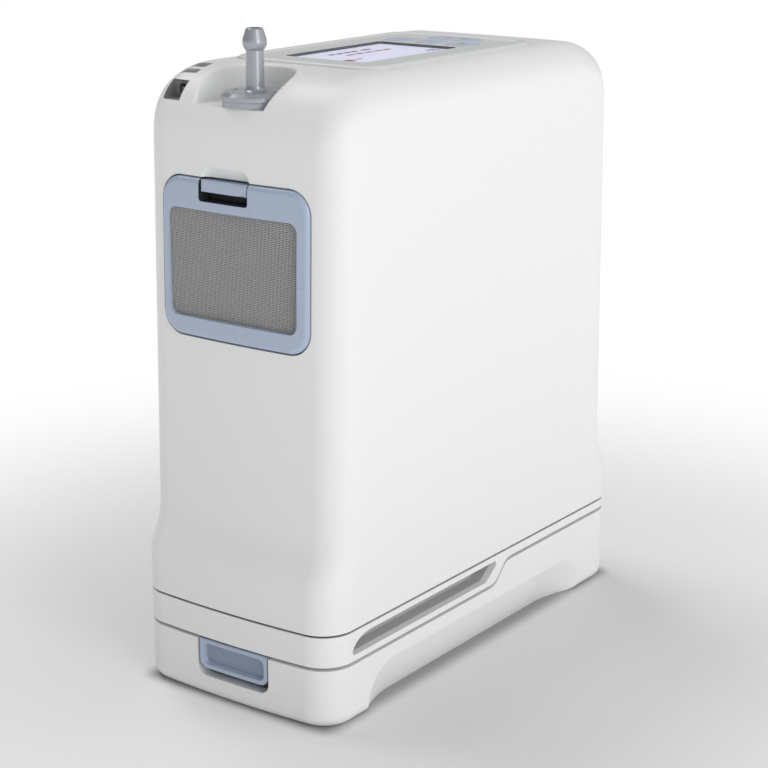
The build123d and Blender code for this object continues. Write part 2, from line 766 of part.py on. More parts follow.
# ================================================================ cannula nozzle
flange_r = 9.0
flange_top = well_floor + 3.8
flange_step = 0.3
flange_split = 1.5
flange_edge = 1.0
neck_r = 2.4
neck_taper = 0.1
neck_flare = 1.0
neck_flare_h = 1.4
bulge_r = 3.2
bulge_h = 2.9
tip_r = 2.3
tip_edge = 0.3
nozzle_top = top_z + 10.9
bulge_low = nozzle_top - 5.7
bore_r = 1.4
filter_room_r = 4.0
filter_room_top = well_floor + 1.4
skirt_low = well_floor - 9.0
ring_z = well_floor - 6.0
ring_r = 0.6
ring_sink = 0.3
grip_ring_r = 5.9
grip_r = 0.75
grip_h = 1.6
nozzle_plane = Plane(origin=(nozzle_x, nozzle_y, 0), x_dir=(1, 0, 0), z_dir=(0, -1, 0))
nozzle_axis = Axis((nozzle_x, nozzle_y, 0), (0, 0, 1))
with BuildPart() as cannula_nozzle:
    with BuildSketch(nozzle_plane):
        with BuildLine():
            Polyline(
                (0, skirt_low),
                (skirt_r, skirt_low),
                (skirt_r, well_floor + running_gap),
                (flange_r - flange_step, well_floor + running_gap),
                (flange_r - flange_step, well_floor + flange_split),
                (flange_r, well_floor + flange_split + flange_step),
                (flange_r, flange_top - flange_edge),
                (flange_r - flange_edge, flange_top),
                (neck_r + neck_flare, flange_top),
            )
            Bezier(
                (neck_r + neck_flare, flange_top),
                (neck_r + 0.3 * neck_flare, flange_top + 0.1 * neck_flare_h),
                (neck_r, flange_top + 0.5 * neck_flare_h),
                (neck_r, flange_top + neck_flare_h),
            )
            Line((neck_r, flange_top + neck_flare_h), (neck_r - neck_taper, bulge_low))
            Bezier(
                (neck_r - neck_taper, bulge_low),
                (bulge_r - neck_taper, bulge_low + 0.3 * bulge_h),
                (bulge_r + 1.5 * neck_taper, bulge_low + 0.65 * bulge_h),
                (bulge_r - neck_taper, bulge_low + bulge_h),
            )
            Polyline(
                (bulge_r - neck_taper, bulge_low + bulge_h),
                (tip_r, nozzle_top - tip_edge),
                (tip_r - tip_edge, nozzle_top),
                (0, nozzle_top),
                (0, skirt_low),
            )
        make_face()
    revolve(axis=nozzle_axis)
    with Locations((nozzle_x, nozzle_y, (skirt_low + filter_room_top) / 2)):
        Cylinder(filter_room_r, filter_room_top - skirt_low, mode=Mode.SUBTRACT)
    with Locations((nozzle_x, nozzle_y, nozzle_top)):
        Cylinder(bore_r, 2 * (nozzle_top - filter_room_top) + 1, mode=Mode.SUBTRACT)
    with BuildSketch(nozzle_plane):
        with Locations((skirt_r - ring_sink, ring_z)):
            Circle(ring_r)
    revolve(axis=nozzle_axis, mode=Mode.SUBTRACT)
    with Locations((nozzle_x, nozzle_y, flange_top)):
        with PolarLocations(grip_ring_r, 2, 100):
            Cylinder(grip_r, grip_h, mode=Mode.SUBTRACT)
cannula_nozzle.part.label = "cannula_nozzle"
export_step(cannula_nozzle.part, "parts/cannula_nozzle.step")

with BuildPart() as nozzle_ring:
    with BuildSketch(nozzle_plane):
        with Locations((skirt_r - ring_sink, ring_z)):
            Circle(ring_r - running_gap)
    revolve(axis=nozzle_axis)
nozzle_ring.part.label = "nozzle_ring"
export_step(nozzle_ring.part, "parts/nozzle_ring.step")

disc_h = 3.6
disc_gap = 0.4
disc_edge_r = 0.5
with BuildPart() as output_filter:
    with Locations((nozzle_x, nozzle_y, filter_room_top - disc_gap - disc_h / 2)):
        Cylinder(filter_room_r - running_gap, disc_h)
    fillet(output_filter.edges(), disc_edge_r)
output_filter.part.label = "output_filter"
export_step(output_filter.part, "parts/output_filter.step")

seat_r = skirt_r + skirt_gap + running_gap
seat_wall = 1.8
seat_low = well_floor - 17.0
seat_floor = 2.0
seat_outlet_z = well_floor - 10.0
outlet_bore = 1.0
with BuildPart() as nozzle_seat:
    with Locations((nozzle_x, nozzle_y, (seat_low + well_floor - wall) / 2)):
        Cylinder(seat_r + seat_wall, well_floor - wall - seat_low)
    with Locations((nozzle_x, nozzle_y, (seat_low + seat_floor + well_floor) / 2)):
        Cylinder(seat_r, well_floor - seat_low - seat_floor, mode=Mode.SUBTRACT)
    with Locations((nozzle_x + seat_r + seat_wall + 1.4, nozzle_y, seat_outlet_z)):
        Cylinder(spigot_r, spigot_h, rotation=(0, 90, 0))
        Cylinder(outlet_bore, 2 * spigot_h + 2, rotation=(0, 90, 0), mode=Mode.SUBTRACT)
    add(cavity.part, mode=Mode.INTERSECT)
nozzle_seat.part.label = "nozzle_seat"
export_step(nozzle_seat.part, "parts/nozzle_seat.step")

# ================================================================ control panel
key_spots = {
    "key_alert": (key_row_x, key_spread, key_length, key_width),
    "key_minus": (key_row_x, 0.0, key_length, key_width),
    "key_plus": (key_row_x, -key_spread, key_length, key_width),
    "key_power": (power_x, -1.0, power_length, power_width),
}
panel_edge_r = 1.2
with BuildPart() as control_panel:
    with BuildSketch(Plane.XY.offset(panel_low)):
        with Locations((panel_x, 0)):
            RectangleRounded(panel_length, panel_width, panel_r)
    extrude(amount=panel_top - panel_low)
    fillet(control_panel.faces().sort_by(Axis.Z)[-1].edges(), panel_edge_r)
    # the middle is a shallow flat inside a soft raised rim
    with BuildSketch(Plane.XY.offset(panel_top - panel_dish)):
        with Locations((panel_x, 0)):
            RectangleRounded(panel_length - 2 * panel_rim, panel_width - 2 * panel_rim, panel_r - panel_rim)
    extrude(amount=1, taper=-45, mode=Mode.SUBTRACT)
    with BuildSketch(Plane.XY.offset(panel_low)):
        with Locations((screen_x, 0)):
            RectangleRounded(screen_length, screen_width, screen_r)
    extrude(amount=reach, mode=Mode.SUBTRACT)
    for x, y, key_x, key_y in key_spots.values():
        with BuildSketch(Plane.XY.offset(panel_low)):
            with Locations((x, y)):
                RectangleRounded(key_x + 2 * key_gap, key_y + 2 * key_gap, key_r + key_gap)
        extrude(amount=reach, mode=Mode.SUBTRACT)
control_panel.part.label = "control_panel"
export_step(control_panel.part, "parts/control_panel.step")

with BuildPart() as display_window:
    with BuildSketch(Plane.XY.offset(screen_top - screen_glass)):
        with Locations((screen_x, 0)):
            RectangleRounded(screen_length - 2 * screen_gap, screen_width - 2 * screen_gap, screen_r)
    extrude(amount=screen_glass)
display_window.part.label = "display_window"
export_step(display_window.part, "parts/display_window.step")

lcd_thickness = 3.2
lcd_margin = 0.7
lcd_frame = 3.0
switch_r = 1.6
switch_h = 0.5
board_top = top_z - 8.0
board_length = 66.0
board_width = 38.0
lcd_top = screen_top - screen_glass - running_gap
with BuildPart() as display_module:
    with Locations((screen_x, 0, lcd_top - lcd_thickness / 2)):
        Box(screen_length - 2 * lcd_margin, screen_width - 2 * lcd_margin, lcd_thickness)
    with Locations((screen_x, 0, (board_top + lcd_top - lcd_thickness) / 2)):
        Box(screen_length - 2 * lcd_frame, screen_width - 2 * lcd_frame, lcd_top - lcd_thickness - board_top)
display_module.part.label = "display_module"
export_step(display_module.part, "parts/display_module.step")

with BuildPart() as display_board:
    with Locations((panel_x, 0, board_top - board_thickness / 2)):
        Box(board_length, board_width, board_thickness)
    for x, y, key_x, key_y in key_spots.values():
        with Locations((x, y, board_top)):
            Cylinder(switch_r, switch_h)
display_board.part.label = "display_board"
export_step(display_board.part, "parts/display_board.step")

for node, (x, y, key_x, key_y) in key_spots.items():
    with BuildPart() as key:
        with BuildSketch(Plane.XY.offset(panel_low - key_root)):
            with Locations((x, y)):
                RectangleRounded(key_x, key_y, key_r)
        extrude(amount=panel_top - panel_dish + key_proud - panel_low + key_root)
        fillet(key.faces().sort_by(Axis.Z)[-1].edges(), key_edge_r)
        with Locations((x, y, (key_stem_low + panel_low) / 2)):
            Cylinder(key_stem_r, panel_low - key_stem_low)
    key.part.label = node
    export_step(key.part, f"parts/{node}.step")

# ================================================================ ports
pin_r = 0.5
socket_r = 1.4
jack_length = 4.4
jack_back = 1.0
jack_plane = Plane(origin=(dc_depth_x, port_y, dc_z), x_dir=(0, 1, 0), z_dir=(1, 0, 0))
with BuildPart() as dc_jack:
    with BuildSketch(jack_plane.offset(port_wall)):
        Rectangle(dc_width, dc_height - 2 * port_r)
    extrude(amount=jack_length)
    add(cavity.part, mode=Mode.INTERSECT)
    with BuildSketch(jack_plane):
        Circle(jack_r)
    extrude(amount=port_wall + jack_back)
    with BuildSketch(jack_plane):
        Circle(socket_r)
        Circle(pin_r, mode=Mode.SUBTRACT)
    extrude(amount=port_wall + jack_length - jack_back, mode=Mode.SUBTRACT)
dc_jack.part.label = "dc_jack"
export_step(dc_jack.part, "parts/dc_jack.step")

cover_plug_h = 0.6
with BuildPart() as service_cover:
    with Locations((usb_x, port_y, usb_floor + cover_plug_h / 2)):
        Box(usb_length - 2 * fit_gap, usb_width - 2 * fit_gap, cover_plug_h)
service_cover.part.label = "service_cover"
export_step(service_cover.part, "parts/service_cover.step")

sounder_r = 2.8
sounder_h = 4.0
sounder_hole_r = 1.0
sounder_x = alarm_x + 1.9
sounder_y = port_y - 1.2
with BuildPart() as alarm_sounder:
    with Locations((sounder_x, sounder_y, alarm_floor - port_wall - 0.2 - sounder_h / 2)):
        Cylinder(sounder_r, sounder_h)
        Cylinder(sounder_hole_r, 2 * sounder_h, mode=Mode.SUBTRACT)
alarm_sounder.part.label = "alarm_sounder"
export_step(alarm_sounder.part, "parts/alarm_sounder.step")

# ================================================================ chassis
chassis_z = seam_z + 2.5
chassis_h = 2.4
chassis_length = length - 26.0
chassis_width = width - 18.0
mount_r = 4.0
mount_h = 4.0
chassis_foot_r = 2.5
chassis_r = 3.0
foot_inset_x = 7.0
foot_inset_y = 4.0
mount_inset_x = 6.0
mount_inset_y = 5.0
mount_hole_r = 2.8
cradle_h = 2.4
cradle_x = -14.0
cradle_length = 76.0
cradle_width = 46.0
cradle_z = chassis_z + chassis_h + mount_h
with BuildPart() as chassis:
    with Locations((0, 0, chassis_z + chassis_h / 2)):
        Box(chassis_length, chassis_width, chassis_h)
    with Locations((0, 0, (seam_z + chassis_z) / 2)):
        with GridLocations(chassis_length - 2 * foot_inset_x, chassis_width - 2 * foot_inset_y, 2, 2):
            Cylinder(chassis_foot_r, chassis_z - seam_z)
    fillet(chassis.edges().filter_by(Axis.Z), chassis_r)
chassis.part.label = "chassis"
export_step(chassis.part, "parts/chassis.step")

with BuildPart() as rubber_mounts:
    with Locations((cradle_x, 0, chassis_z + chassis_h + mount_h / 2)):
        with GridLocations(cradle_length - 2 * mount_inset_x, cradle_width - 2 * mount_inset_y, 2, 2):
            Cylinder(mount_r, mount_h)
            Cylinder(mount_r + 1, mount_h / 3, mode=Mode.SUBTRACT)
            Cylinder(mount_hole_r, mount_h)
rubber_mounts.part.label = "rubber_mounts"
export_step(rubber_mounts.part, "parts/rubber_mounts.step")

# ================================================================ compressor
shaft_z = cradle_z + 25.6
shaft_r = 2.5
crank_throw = 1.6
crank_pin_r = 3.6
case_half = 17.0
case_low_y = -26.0
case_high_y = 0.0
case_thickness = 2.5
bore_radius = 7.0
sleeve_wall = 2.2
sleeve_length = 16.0
head_length = 9.0
piston_y = (-17.2, -9.9)
rod_thickness = 4.6
rod_ring_wall = 2.0
rod_height = 5.0
case_edge_round = 5.0
fin_count = 4
fin_start = 2.4
fin_pitch = 2.6
fin_thickness = 0.9
fin_depth = 0.6
head_width = 20.0
head_height = 22.0
head_r = 2.0
rod_eye_r = crank_pin_r + 2 * crank_throw + 0.3
motor_r = 20.5
motor_wall = 1.4
motor_high_y = 27.5
bearing_r = 5.5
bearing_width = 2.4


def on_shaft(y):
    """Plane across the compressor shaft at y, facing +Y."""
    return Plane(origin=(cradle_x, y, shaft_z), x_dir=(1, 0, 0), z_dir=(0, 1, 0))


def along_cylinder(x, y):
    """Plane across a compressor cylinder at x, facing +X."""
    return Plane(origin=(x, y, shaft_z), x_dir=(0, 1, 0), z_dir=(1, 0, 0))


def disc(plane, radius, thickness, hole=0):
    """Round plate standing on a plane, with an optional hole."""
    with BuildPart() as plate:
        with BuildSketch(plane):
            Circle(radius)
            if hole:
                Circle(hole, mode=Mode.SUBTRACT)
        extrude(amount=thickness)
    return plate.part


with BuildPart() as crankcase:
    with Locations((cradle_x, 0, cradle_z + cradle_h / 2)):
        Box(cradle_length, cradle_width, cradle_h)
    case_mid_y = (case_low_y + case_high_y) / 2
    with Locations((cradle_x, case_mid_y, (cradle_z + shaft_z + case_half) / 2)):
        Box(2 * case_half, case_high_y - case_low_y, shaft_z + case_half - cradle_z)
    fillet(crankcase.edges().filter_by(Axis.Y).group_by(Axis.Z)[-1], case_edge_round)
    with Locations((cradle_x, case_mid_y, shaft_z)):
        Box(
            2 * (case_half - case_thickness),
            case_high_y - case_low_y - 2 * case_thickness,
            2 * (case_half - case_thickness),
            mode=Mode.SUBTRACT,
        )
    add(disc(on_shaft(case_low_y), bearing_r, reach), mode=Mode.SUBTRACT)
    for sign, y in ((1, piston_y[0]), (-1, piston_y[1])):
        bore = disc(along_cylinder(cradle_x, y), bore_radius + sleeve_wall, sign * 2 * case_half)
        add(bore, mode=Mode.SUBTRACT)
crankcase.part.label = "crankcase"
export_step(crankcase.part, "parts/crankcase.step")

with BuildPart() as cylinder_sleeves:
    for sign, y in ((1, piston_y[0]), (-1, piston_y[1])):
        start = cradle_x + sign * (case_half - case_thickness)
        add(disc(along_cylinder(start, y), bore_radius + sleeve_wall, sign * sleeve_length, bore_radius))
        for fin in range(fin_count):
            fin_x = cradle_x + sign * (case_half + fin_start + fin_pitch * fin)
            fin_r = bore_radius + sleeve_wall + fin_depth
            add(disc(along_cylinder(fin_x, y), fin_r, sign * fin_thickness, bore_radius))
cylinder_sleeves.part.label = "cylinder_sleeves"
export_step(cylinder_sleeves.part, "parts/cylinder_sleeves.step")

head_start = case_half - case_thickness + sleeve_length
head_spigot_top = shaft_z + head_height / 2 + 4.0
with BuildPart() as cylinder_heads:
    for sign, y in ((1, piston_y[0]), (-1, piston_y[1])):
        head_x = cradle_x + sign * (head_start + head_length / 2)
        with Locations((head_x, y, shaft_z)):
            Box(head_length, head_width, head_height)
        with Locations((head_x, y, head_spigot_top - spigot_h / 2)):
            Cylinder(spigot_r, spigot_h)
    fillet(cylinder_heads.edges().filter_by(Axis.X), head_r)
cylinder_heads.part.label = "cylinder_heads"
export_step(cylinder_heads.part, "parts/cylinder_heads.step")

# wobble pistons: head and rod in one, with the big-end eye open round the crank pin
piston_gap = 0.06
piston_height = 3.0
piston_mid = case_half + 6.5
for node, sign, y in (("piston_a", 1, piston_y[0]), ("piston_b", -1, piston_y[1])):
    with BuildPart() as piston:
        crown = along_cylinder(cradle_x + sign * piston_mid, y)
        add(disc(crown, bore_radius - piston_gap, sign * piston_height))
        with Locations((cradle_x + sign * (rod_eye_r + piston_mid) / 2, y, shaft_z)):
            Box(piston_mid - rod_eye_r, rod_thickness, rod_height)
        add(disc(on_shaft(y - rod_thickness / 2), rod_eye_r + rod_ring_wall, rod_thickness))
        add(disc(on_shaft(y - rod_thickness / 2), rod_eye_r, rod_thickness), mode=Mode.SUBTRACT)
    piston.part.label = node
    export_step(piston.part, f"parts/{node}.step")

bearing_ys = (case_low_y, case_high_y - bearing_width, motor_high_y - motor_wall - bearing_width)
with BuildPart() as shaft_bearings:
    for y in bearing_ys:
        add(disc(on_shaft(y), bearing_r, bearing_width, shaft_r + running_gap))
shaft_bearings.part.label = "shaft_bearings"
export_step(shaft_bearings.part, "parts/shaft_bearings.step")

pin_spare = 0.6
pin_low_y = piston_y[0] - rod_thickness / 2 - pin_spare
pin_high_y = piston_y[1] + rod_thickness / 2 + pin_spare
weight_shift = 2.0
weight_r = 8.0
weight_thickness = 1.6
with BuildPart() as motor_shaft:
    add(disc(on_shaft(case_low_y), shaft_r, motor_high_y - motor_wall - 0.3 - case_low_y))
motor_shaft.part.label = "motor_shaft"
export_step(motor_shaft.part, "parts/motor_shaft.step")

with BuildPart() as crank_eccentric:
    with BuildSketch(on_shaft(pin_low_y)):
        with Locations((crank_throw, 0)):
            Circle(crank_pin_r)
    extrude(amount=pin_high_y - pin_low_y)
    # counterweight beside the pin
    with BuildSketch(on_shaft(pin_high_y)):
        with Locations((-weight_shift, 0)):
            Circle(weight_r)
    extrude(amount=weight_thickness)
    add(disc(on_shaft(case_low_y), shaft_r, reach), mode=Mode.SUBTRACT)
crank_eccentric.part.label = "crank_eccentric"
export_step(crank_eccentric.part, "parts/crank_eccentric.step")

rotor_low_y = 5.5
rotor_length = 15.0
rotor_r = 10.5
air_gap = 0.5
winding_slots = 9
winding_slot_r = 1.9
bearing_boss_wall = 1.5
with BuildPart() as motor_rotor:
    add(disc(on_shaft(rotor_low_y), rotor_r, rotor_length, shaft_r))
motor_rotor.part.label = "motor_rotor"
export_step(motor_rotor.part, "parts/motor_rotor.step")

with BuildPart() as motor_stator:
    stator_hole = rotor_r + air_gap
    add(disc(on_shaft(rotor_low_y), motor_r - motor_wall, rotor_length, stator_hole))
    with Locations(on_shaft(rotor_low_y + rotor_length / 2).location):
        with PolarLocations((stator_hole + motor_r - motor_wall) / 2, winding_slots):
            Cylinder(winding_slot_r, rotor_length + 1, mode=Mode.SUBTRACT)
motor_stator.part.label = "motor_stator"
export_step(motor_stator.part, "parts/motor_stator.step")

with BuildPart() as motor_can:
    add(disc(on_shaft(case_high_y), motor_r, motor_high_y - case_high_y))
    can_depth = motor_high_y - motor_wall - case_high_y
    add(disc(on_shaft(case_high_y), motor_r - motor_wall, can_depth), mode=Mode.SUBTRACT)
    rear_seat_y = motor_high_y - motor_wall - bearing_width
    add(disc(on_shaft(rear_seat_y), bearing_r + bearing_boss_wall, bearing_width, bearing_r))
    with Locations((cradle_x, motor_high_y / 2, cradle_z + cradle_h / 2 - reach / 2)):
        Box(reach, reach, reach + cradle_h, mode=Mode.SUBTRACT)
motor_can.part.label = "motor_can"
export_step(motor_can.part, "parts/motor_can.step")

# ================================================================ cooling fan behind the front filter
fan_x = pocket_x + 3.6
fan_size = 36.0
fan_depth = 9.0
fan_z = mesh_z + 0.1
fan_blades = 7
fan_hub_r = 6.0
fan_tip_r = 16.0
fan_ring_r = 16.8
fan_corner_r = 2.5
fan_hole_inset = 3.0
fan_hole_r = 1.5
fan_strut = 2.2
fan_strut_depth = 1.2
fan_pin_r = 1.0
fan_pin_start = 3.0
fan_hub_start = 0.8
fan_hub_depth = 6.4
fan_hub_face = 1.6
fan_blade_start = 1.2
fan_blade_depth = 5.2
fan_blade_thickness = 1.1
fan_plane = Plane(origin=(fan_x, 0, fan_z), x_dir=(0, 1, 0), z_dir=(1, 0, 0))
with BuildPart() as fan_frame:
    with BuildSketch(fan_plane):
        RectangleRounded(fan_size, fan_size, fan_corner_r)
        Circle(fan_ring_r, mode=Mode.SUBTRACT)
        with GridLocations(fan_size - 2 * fan_hole_inset, fan_size - 2 * fan_hole_inset, 2, 2):
            Circle(fan_hole_r, mode=Mode.SUBTRACT)
    extrude(amount=fan_depth)
    with BuildSketch(fan_plane.offset(fan_depth - fan_strut_depth)):
        Circle(fan_hub_r)
        with PolarLocations(fan_ring_r / 2, 3):
            Rectangle(fan_ring_r, fan_strut)
    extrude(amount=fan_strut_depth)
    with BuildSketch(fan_plane.offset(fan_pin_start)):
        Circle(fan_pin_r)
    extrude(amount=fan_depth - fan_strut_depth - fan_pin_start)
fan_frame.part.label = "fan_frame"
export_step(fan_frame.part, "parts/fan_frame.step")

with BuildPart() as fan_impeller:
    with BuildSketch(fan_plane.offset(fan_hub_start)):
        Circle(fan_hub_r)
    extrude(amount=fan_hub_depth)
    with BuildSketch(fan_plane.offset(fan_blade_start)):
        with PolarLocations((fan_hub_r + fan_tip_r) / 2 - 0.5, fan_blades):
            Rectangle(fan_tip_r - fan_hub_r + 1, fan_blade_thickness)
    extrude(amount=fan_blade_depth)
    with BuildSketch(fan_plane.offset(fan_hub_start + fan_hub_face)):
        Circle(fan_pin_r + running_gap)
    extrude(amount=reach, mode=Mode.SUBTRACT)
fan_impeller.part.label = "fan_impeller"
export_step(fan_impeller.part, "parts/fan_impeller.step")

# ================================================================ sieve columns
column_x = half_length - 29.0
column_y = 15.2
column_r = 11.6
column_wall = 1.0
column_low = chassis_z + 8.0
column_high = top_z - 34.0
bed_gap = 4.0
cap_h = 6.0
cap_lap = 0.6
cap_wall = 1.2
cap_spigot_z = 1.4
with BuildPart() as sieve_columns:
    for side in (-1, 1):
        with BuildSketch(Plane.XY.offset(column_low)):
            with Locations((column_x, side * column_y)):
                Circle(column_r)
                Circle(column_r - column_wall, mode=Mode.SUBTRACT)
        extrude(amount=column_high - column_low)
        with BuildSketch(Plane.XY.offset(column_low + bed_gap)):
            with Locations((column_x, side * column_y)):
                Circle(column_r - column_wall)
        extrude(amount=column_high - column_low - 2 * bed_gap)
sieve_columns.part.label = "sieve_columns"
export_step(sieve_columns.part, "parts/sieve_columns.step")

with BuildPart() as column_caps:
    for low in (column_low - cap_h + cap_lap, column_high - cap_lap):
        with BuildSketch(Plane.XY.offset(low)):
            with Locations((column_x, 0)):
                cap_r = column_r + cap_wall
                RectangleRounded(2 * cap_r, 2 * column_y + 2 * cap_r, column_r)
        extrude(amount=cap_h)
        with BuildSketch(Plane.XY.offset(column_low)):
            with Locations((column_x, -column_y), (column_x, column_y)):
                Circle(column_r)
        extrude(amount=column_high - column_low, mode=Mode.SUBTRACT)
    with Locations((column_x, 0, column_high + cap_h + cap_spigot_z)):
        with GridLocations(1, 2 * column_y, 1, 2):
            Cylinder(spigot_r, spigot_h)
column_caps.part.label = "column_caps"
export_step(column_caps.part, "parts/column_caps.step")

# ================================================================ air path above the compressor
head_x_front = cradle_x - head_start - head_length / 2
head_x_rear = cradle_x + head_start + head_length / 2
manifold_x = 11.0
manifold_y = -11.0
manifold_low = shaft_z + 25.0
manifold_length = 38.0
manifold_width = 26.0
manifold_h = 10.0
manifold_r = 2.0
valve_r = 4.2
valve_h = 13.0
valve_pitch_x = 18.0
valve_pitch_y = 13.0
coil_h = 9.0
with BuildPart() as valve_manifold:
    with Locations((manifold_x, manifold_y, manifold_low + manifold_h / 2)):
        Box(manifold_length, manifold_width, manifold_h)
    fillet(valve_manifold.edges().filter_by(Axis.Z), manifold_r)
    with Locations((head_x_rear, piston_y[0], manifold_low - spigot_h / 2)):
        Cylinder(spigot_r, spigot_h)
valve_manifold.part.label = "valve_manifold"
export_step(valve_manifold.part, "parts/valve_manifold.step")

with BuildPart() as solenoid_valves:
    with Locations((manifold_x, manifold_y, manifold_low + manifold_h + valve_h / 2)):
        with GridLocations(valve_pitch_x, valve_pitch_y, 2, 2):
            Cylinder(valve_r, valve_h)
            Box(2.2 * valve_r, 1.6 * valve_r, coil_h)
solenoid_valves.part.label = "solenoid_valves"
export_step(solenoid_valves.part, "parts/solenoid_valves.step")

muffler_x = -36.5
muffler_y = -9.9
muffler_z = shaft_z + 32.5
muffler_width = 30.0
muffler_wall = 2.0
muffler_r = 3.0
muffler_length = 39.0
muffler_height = 17.0
with BuildPart() as intake_muffler:
    with Locations((muffler_x, muffler_y, muffler_z)):
        Box(muffler_length, muffler_width, muffler_height)
    fillet(intake_muffler.edges(), muffler_r)
    with Locations((muffler_x, muffler_y, muffler_z)):
        Box(
            muffler_length - 2 * muffler_wall,
            muffler_width - 2 * muffler_wall,
            muffler_height - 2 * muffler_wall,
            mode=Mode.SUBTRACT,
        )
    with Locations((head_x_front, piston_y[1], muffler_z - muffler_height / 2 - 0.4 * spigot_h)):
        Cylinder(spigot_r, spigot_h)
intake_muffler.part.label = "intake_muffler"
export_step(intake_muffler.part, "parts/intake_muffler.step")

tank_x = -3.0
tank_y = nozzle_y
tank_z = top_z - 41.0
tank_r = 13.5
tank_length = 62.0
tank_end_r = 5.0
tank_wall = 1.6
tank_room = 52.0
tank_spigot_x = -21.0
tank_spigot_h = 8.0
with BuildPart() as product_tank:
    with Locations((tank_x, tank_y, tank_z)):
        Cylinder(tank_r, tank_length, rotation=(0, 90, 0))
    fillet(product_tank.edges(), tank_end_r)
    with Locations((tank_spigot_x, tank_y, tank_z + tank_r)):
        Cylinder(spigot_r, tank_spigot_h)
    with Locations((tank_x, tank_y, tank_z)):
        Cylinder(tank_r - tank_wall, tank_room, rotation=(0, 90, 0), mode=Mode.SUBTRACT)
product_tank.part.label = "product_tank"
export_step(product_tank.part, "parts/product_tank.step")

sensor_x = -36.0
sensor_z = seat_outlet_z
sensor_length = 21.0
sensor_body = (16.0, 9.0, 7.0)
with BuildPart() as flow_sensor:
    with Locations((sensor_x, nozzle_y, sensor_z)):
        Box(*sensor_body)
        Cylinder(spigot_r, sensor_length, rotation=(0, 90, 0))
flow_sensor.part.label = "flow_sensor"
export_step(flow_sensor.part, "parts/flow_sensor.step")

main_board_x = -8.0
main_board_y = half_width - 12.5
main_board_z = top_z - 55.0
main_board_size = (80.0, 1.6, 62.0)
board_face_y = main_board_y - main_board_size[1] / 2
board_back_y = main_board_y + main_board_size[1] / 2
processor_spot = (-20.0, main_board_z - 5.0)
processor_size = (14.0, 2.0, 14.0)
capacitor_spot = (10.0, main_board_z - 13.0)
capacitor_pitch = 9.0
capacitor_r = 3.4
capacitor_h = 4.0
driver_spot = (4.0, main_board_z + 9.0)
driver_pitch = 8.0
driver_size = (4.0, 1.0, 3.0)
header_z = main_board_z - 25.0
header_size = (50.0, 3.0, 6.0)
with BuildPart() as main_board:
    with Locations((main_board_x, main_board_y, main_board_z)):
        Box(*main_board_size)
    with Locations((processor_spot[0], board_face_y - processor_size[1] / 2, processor_spot[1])):
        Box(*processor_size)
    with Locations((capacitor_spot[0], board_face_y - capacitor_h / 2, capacitor_spot[1])):
        with GridLocations(capacitor_pitch, 1, 4, 1):
            Cylinder(capacitor_r, capacitor_h, rotation=(90, 0, 0))
    with Locations((driver_spot[0], board_face_y - driver_size[1] / 2, driver_spot[1])):
        with GridLocations(driver_pitch, 1, 6, 1):
            Box(*driver_size)
    with Locations((main_board_x, board_back_y + header_size[1] / 2, header_z)):
        Box(*header_size)
main_board.part.label = "main_board"
export_step(main_board.part, "parts/main_board.step")

# ================================================================ hoses
hose_r = 2.9
hose_lap = 3.0
hose_gap = 0.5
hose_bend = 4.5
sensor_end = sensor_body[0] / 2 + 0.2


def hose(points, bend):
    """Rubber hose along a path of straight runs, with its bends as arcs."""
    with BuildPart() as tube:
        with BuildLine() as route:
            if len(points) > 2:
                FilletPolyline(*points, radius=bend)
            else:
                Line(*points)
        with BuildSketch(Plane(origin=route.line @ 0, z_dir=route.line % 0)):
            Circle(hose_r)
            Circle(spigot_r, mode=Mode.SUBTRACT)
        sweep(path=route.line)
    return tube.part


with BuildPart() as air_hoses:
    for x, y, high in (
        (head_x_rear, piston_y[0], manifold_low - hose_gap),
        (head_x_front, piston_y[1], muffler_z - muffler_height / 2 - hose_gap),
    ):
        add(hose([(x, y, head_spigot_top - hose_lap), (x, y, high)], 0))
    seat_end = nozzle_x + seat_r + seat_wall + hose_gap
    add(hose([(seat_end, nozzle_y, sensor_z), (sensor_x - sensor_end, nozzle_y, sensor_z)], 0))
    tank_hose = [
        (tank_spigot_x, tank_y, tank_z + tank_r + hose_gap),
        (tank_spigot_x, tank_y, sensor_z),
        (sensor_x + sensor_end, nozzle_y, sensor_z),
    ]
    add(hose(tank_hose, hose_bend))
air_hoses.part.label = "air_hoses"
export_step(air_hoses.part, "parts/air_hoses.step")

# ================================================================ screws
screw_length = 14.0
socket_hex_r = 0.9
with BuildPart() as housing_screws:
    for spots, under in screw_rows:
        with BuildSketch(Plane.XY.offset(under + fit_gap)):
            with Locations(spots):
                Circle(screw_head_r)
        extrude(amount=screw_head_h)
        with BuildSketch(Plane.XY.offset(under + fit_gap)):
            with Locations(spots):
                Circle(screw_r)
        extrude(amount=screw_length)
        with BuildSketch(Plane.XY.offset(under + fit_gap)):
            with Locations(spots):
                RegularPolygon(socket_hex_r, 6)
        extrude(amount=socket_hex_r, mode=Mode.SUBTRACT)
housing_screws.part.label = "housing_screws"
export_step(housing_screws.part, "parts/housing_screws.step")
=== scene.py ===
"""Looks of the portable oxygen concentrator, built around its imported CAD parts. Metres."""
import json
import math

